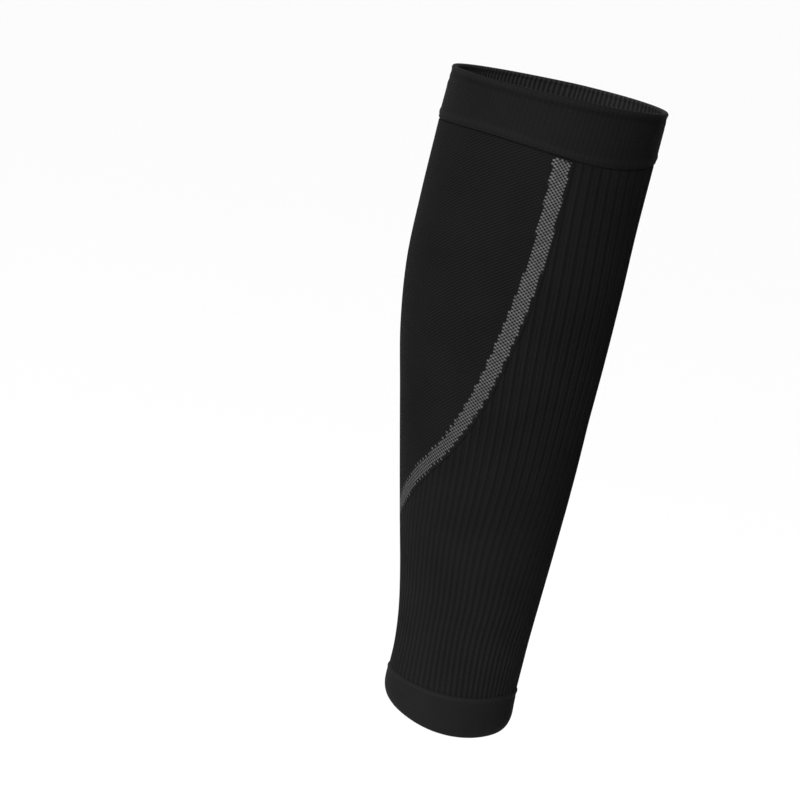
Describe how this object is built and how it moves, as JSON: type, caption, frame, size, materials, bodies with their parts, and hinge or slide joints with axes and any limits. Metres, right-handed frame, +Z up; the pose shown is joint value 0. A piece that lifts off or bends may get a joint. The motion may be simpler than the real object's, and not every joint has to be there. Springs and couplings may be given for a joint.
{
  "type": "calf compression sleeve",
  "caption": "Knitted tube for the lower leg, fuller at the calf, with a double cuff below the knee, ribbed shin, contour stripe round the calf and a plain ankle cuff.",
  "frame": {"origin": "on the leg's axis at the height where the calf is fullest, where the leg fills and holds the sleeve", "axes": "+Z up the leg to the knee, +X to the shin, -X to the back of the calf, Y from side to side"},
  "size_m": [0.1212, 0.1112, 0.3487],
  "materials": {
    "cuff_knit": "matt black nylon knit, two layers, with fine stitch dashes in columns",
    "rib_knit": "matt black nylon knit with vertical double ribs",
    "calf_knit": "matt black nylon knit with a fine diagonal bird's-eye surface",
    "stripe_knit": "light grey stitches in a checkerboard on black knit",
    "ankle_knit": "smooth black nylon knit with fine vertical columns"
  },
  "bodies": {
    "root": {"knee_cuff": "cuff_knit", "shin_panel": "rib_knit", "calf_panel": "calf_knit", "contour_stripe": "stripe_knit", "ankle_cuff": "ankle_knit"}
  },
  "joints": []
}
